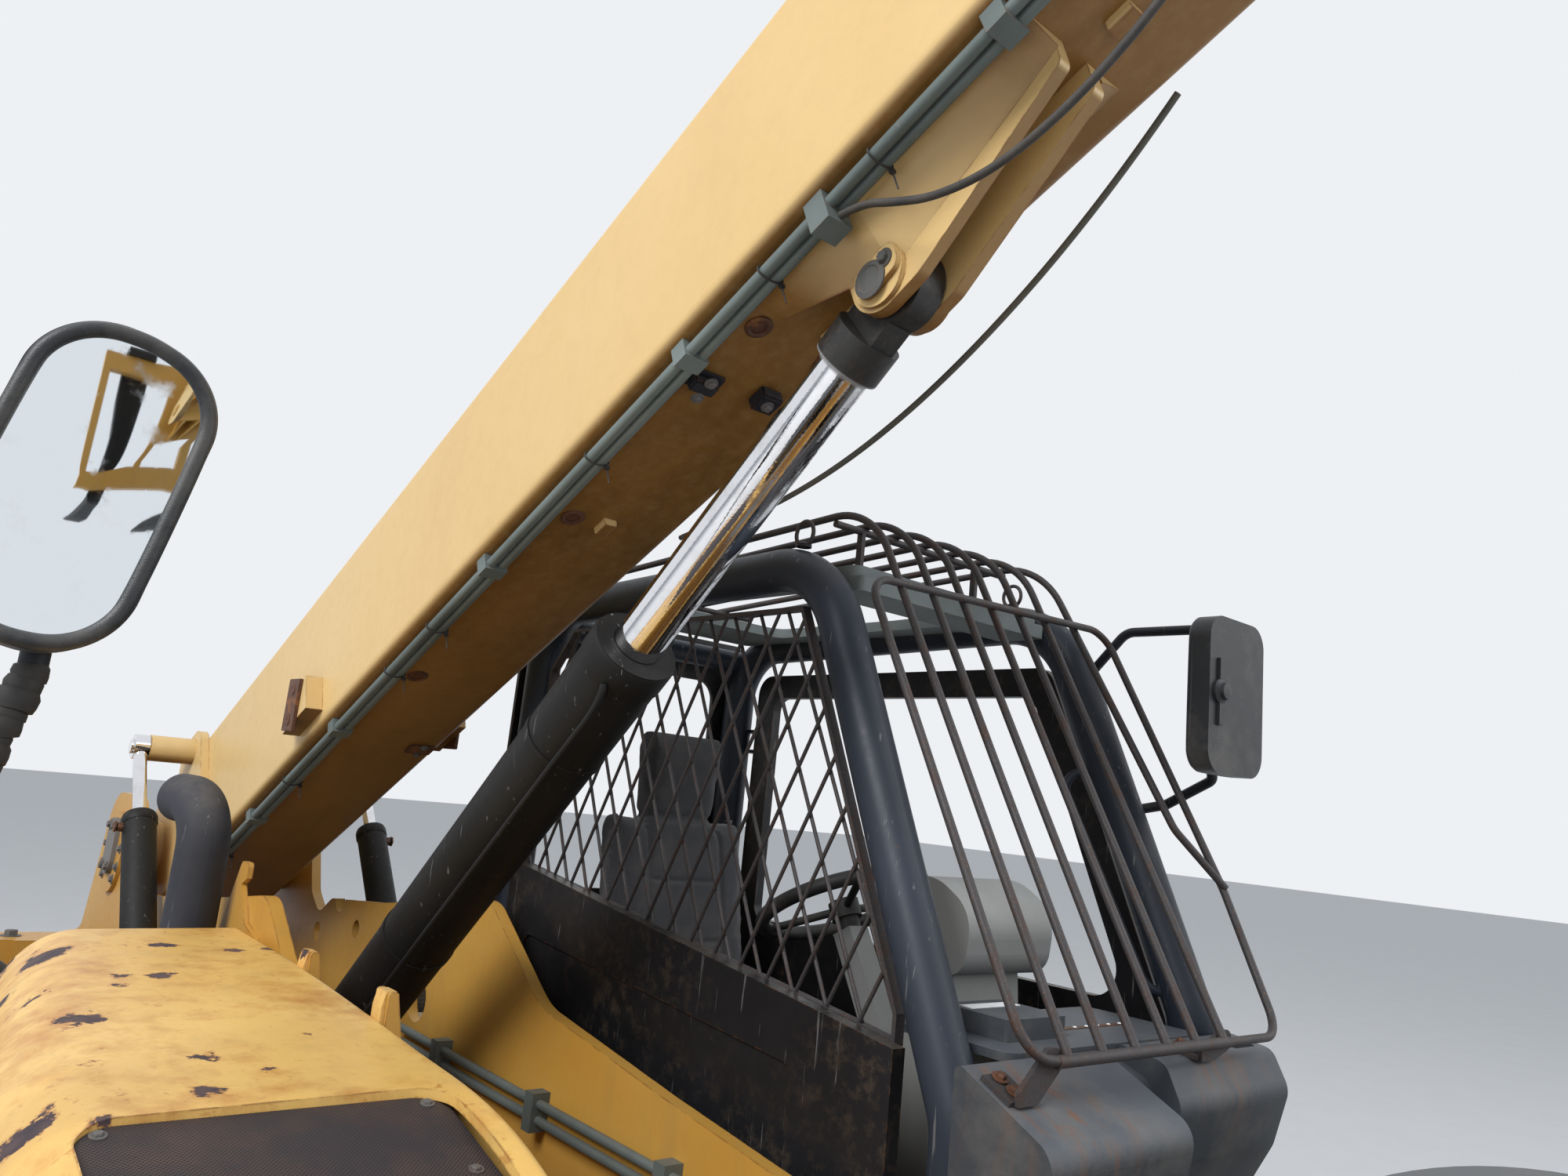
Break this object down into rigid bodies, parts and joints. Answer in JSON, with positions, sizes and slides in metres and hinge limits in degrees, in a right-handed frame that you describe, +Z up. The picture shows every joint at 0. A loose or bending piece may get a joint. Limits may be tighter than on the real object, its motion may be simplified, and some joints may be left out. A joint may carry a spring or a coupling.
{
  "type": "telescopic handler",
  "caption": "Four-wheel telescopic handler with a raised three-section boom, fork carriage, side engine pod and guarded open cab.",
  "frame": {"origin": "ground level, on the centre line, midway between the counterweight's back and the fork tips", "axes": "+X forward, +Y to the left, +Z up"},
  "size_m": [8.1116, 2.53, 4.059],
  "materials": {
    "yellow_paint": "worn",
    "black_paint": "worn",
    "chrome": "worn",
    "pin_steel": "worn",
    "rusty_rod": "worn",
    "engine_iron": "worn",
    "black_plastic": "worn",
    "grey_plastic": "worn",
    "seat_cloth": "worn",
    "rim_paint": "worn",
    "tyre_rubber": "worn",
    "cable_rubber": "worn"
  },
  "bodies": {
    "chassis": {"main_frame": "yellow_paint", "counterweight": "yellow_paint", "boom_pivot_pin": "pin_steel", "axle_front": "black_paint", "axle_rear": "black_paint", "fenders": "black_plastic", "engine_pod": "yellow_paint", "engine_block": "engine_iron", "exhaust": "black_paint", "hydraulic_tank": "yellow_paint", "cab_base": "black_paint", "frame_pipes": "black_paint", "cab_frame": "black_paint", "cab_floor": "black_paint", "cab_side_panel": "black_paint", "cab_rear_panel": "black_paint", "cab_roof": "black_paint", "cab_cowl": "black_plastic", "dash": "grey_plastic", "seat_base": "black_paint", "seat_cushion": "seat_cloth", "seat_back": "seat_cloth", "steering_wheel": "black_plastic", "cab_guard": "rusty_rod", "cab_side_mesh": "rusty_rod", "mirror_left": "black_plastic", "mirror_left_arm": "black_paint", "mirror_right": "black_plastic", "mirror_right_arm": "black_paint"},
    "boom": {"boom_outer": "yellow_paint", "boom_pipes": "black_paint", "cable_left": "cable_rubber", "cable_right": "cable_rubber"},
    "boom_middle": {"boom_mid": "yellow_paint"},
    "boom_tip": {"boom_fly": "yellow_paint", "boom_head": "yellow_paint"},
    "fork_carriage": {"carriage": "yellow_paint", "forks": "black_paint"},
    "tilt_tube": {"tilt_barrel": "black_paint"},
    "tilt_ram": {"tilt_rod": "chrome"},
    "lift_ram": {"lift_rod": "chrome"},
    "lift_tube": {"lift_barrel": "black_paint"},
    "level_tubes": {"level_barrels": "black_paint"},
    "level_rams": {"level_rods": "chrome"},
    "door": {"cab_door": "black_paint"},
    "hood": {"engine_hood": "yellow_paint", "hood_grille": "black_paint"},
    "steering_front_left": {"knuckle_front_left": "black_paint"},
    "wheel_front_left": {"rim_front_left": "rim_paint", "tyre_front_left": "tyre_rubber"},
    "steering_front_right": {"knuckle_front_right": "black_paint"},
    "wheel_front_right": {"rim_front_right": "rim_paint", "tyre_front_right": "tyre_rubber"},
    "steering_rear_left": {"knuckle_rear_left": "black_paint"},
    "wheel_rear_left": {"rim_rear_left": "rim_paint", "tyre_rear_left": "tyre_rubber"},
    "steering_rear_right": {"knuckle_rear_right": "black_paint"},
    "wheel_rear_right": {"rim_rear_right": "rim_paint", "tyre_rear_right": "tyre_rubber"}
  },
  "joints": [
    {"name": "boom_lift", "type": "hinge", "parent": "chassis", "child": "boom", "pos_m": [-3.14584, 0, 1.571], "axis": [0, -1, 0], "range_deg": [-25.2, 42.8]},
    {"name": "boom_extend_middle", "type": "slide", "parent": "boom", "child": "boom_middle", "axis": [0.9048, 0, 0.4258], "range_m": [0, 3.5]},
    {"name": "boom_extend_tip", "type": "slide", "parent": "boom_middle", "child": "boom_tip", "axis": [0.9048, 0, 0.4258], "range_m": [0, 3.5]},
    {"name": "fork_tilt", "type": "hinge", "parent": "boom_tip", "child": "fork_carriage", "pos_m": [2.57584, 0, 3.26875], "axis": [0, -1, 0], "range_deg": [-75, 25]},
    {"name": "tilt_tube_swing", "type": "hinge", "parent": "boom_tip", "child": "tilt_tube", "pos_m": [1.65986, 0, 3.8766], "axis": [0, -1, 0], "range_deg": [-0.533, 0.178]},
    {"name": "tilt_ram_slide", "type": "slide", "parent": "tilt_tube", "child": "tilt_ram", "axis": [0.9511, 0, -0.3087], "range_m": [-0.13185, 0.39554]},
    {"name": "lift_ram_swing", "type": "hinge", "parent": "boom", "child": "lift_ram", "pos_m": [0.03361, 0, 2.72453], "axis": [0, -1, 0], "range_deg": [-2.73, 1.61]},
    {"name": "lift_tube_slide", "type": "slide", "parent": "lift_ram", "child": "lift_tube", "axis": [-0.7654, 0, -0.6435], "range_m": [-0.47762, 0.8112]},
    {"name": "level_tubes_swing", "type": "hinge", "parent": "chassis", "child": "level_tubes", "pos_m": [-2.16584, 0, 1.224], "axis": [0, -1, 0], "range_deg": [-1.41, 2.39]},
    {"name": "level_rams_slide", "type": "slide", "parent": "level_tubes", "child": "level_rams", "axis": [-0.6725, 0, 0.7401], "range_m": [-0.20275, 0.34436]},
    {"name": "steer_front_left", "type": "hinge", "parent": "chassis", "child": "steering_front_left", "pos_m": [0.60416, 0.8, 0.64], "axis": [0, 0, 1], "range_deg": [-35, 35]},
    {"name": "roll_front_left", "type": "hinge", "parent": "steering_front_left", "child": "wheel_front_left", "pos_m": [0.60416, 1.05, 0.64], "axis": [0, 1, 0], "continuous": true},
    {"name": "steer_front_right", "type": "hinge", "parent": "chassis", "child": "steering_front_right", "pos_m": [0.60416, -0.8, 0.64], "axis": [0, 0, 1], "range_deg": [-35, 35]},
    {"name": "roll_front_right", "type": "hinge", "parent": "steering_front_right", "child": "wheel_front_right", "pos_m": [0.60416, -1.05, 0.64], "axis": [0, 1, 0], "continuous": true},
    {"name": "steer_rear_left", "type": "hinge", "parent": "chassis", "child": "steering_rear_left", "pos_m": [-3.04584, 0.8, 0.64], "axis": [0, 0, 1], "range_deg": [-35, 35]},
    {"name": "roll_rear_left", "type": "hinge", "parent": "steering_rear_left", "child": "wheel_rear_left", "pos_m": [-3.04584, 1.05, 0.64], "axis": [0, 1, 0], "continuous": true},
    {"name": "steer_rear_right", "type": "hinge", "parent": "chassis", "child": "steering_rear_right", "pos_m": [-3.04584, -0.8, 0.64], "axis": [0, 0, 1], "range_deg": [-35, 35]},
    {"name": "roll_rear_right", "type": "hinge", "parent": "steering_rear_right", "child": "wheel_rear_right", "pos_m": [-3.04584, -1.05, 0.64], "axis": [0, 1, 0], "continuous": true},
    {"name": "door_swing", "type": "hinge", "parent": "chassis", "child": "door", "pos_m": [-1.61384, 1.162, 1.15], "axis": [0, 0, 1], "range_deg": [0, 90]},
    {"name": "hood_lift", "type": "hinge", "parent": "chassis", "child": "hood", "pos_m": [-1.19584, -0.29, 1.562], "axis": [-1, 0, 0], "range_deg": [0, 55]}
  ],
  "couplings": [
    {"joint": "boom_extend_tip", "follows": "boom_extend_middle", "ratio": 1},
    {"joint": "tilt_tube_swing", "follows": "fork_tilt", "ratio": 0.0071},
    {"joint": "tilt_ram_slide", "follows": "fork_tilt", "m_per_rad": -0.30217},
    {"joint": "lift_ram_swing", "follows": "boom_lift", "ratio": -0.0639},
    {"joint": "lift_tube_slide", "follows": "boom_lift", "m_per_rad": 1.0859},
    {"joint": "level_tubes_swing", "follows": "boom_lift", "ratio": 0.0559},
    {"joint": "level_rams_slide", "follows": "boom_lift", "m_per_rad": 0.46099},
    {"joint": "steer_front_right", "follows": "steer_front_left", "ratio": 1},
    {"joint": "steer_rear_right", "follows": "steer_rear_left", "ratio": 1}
  ]
}
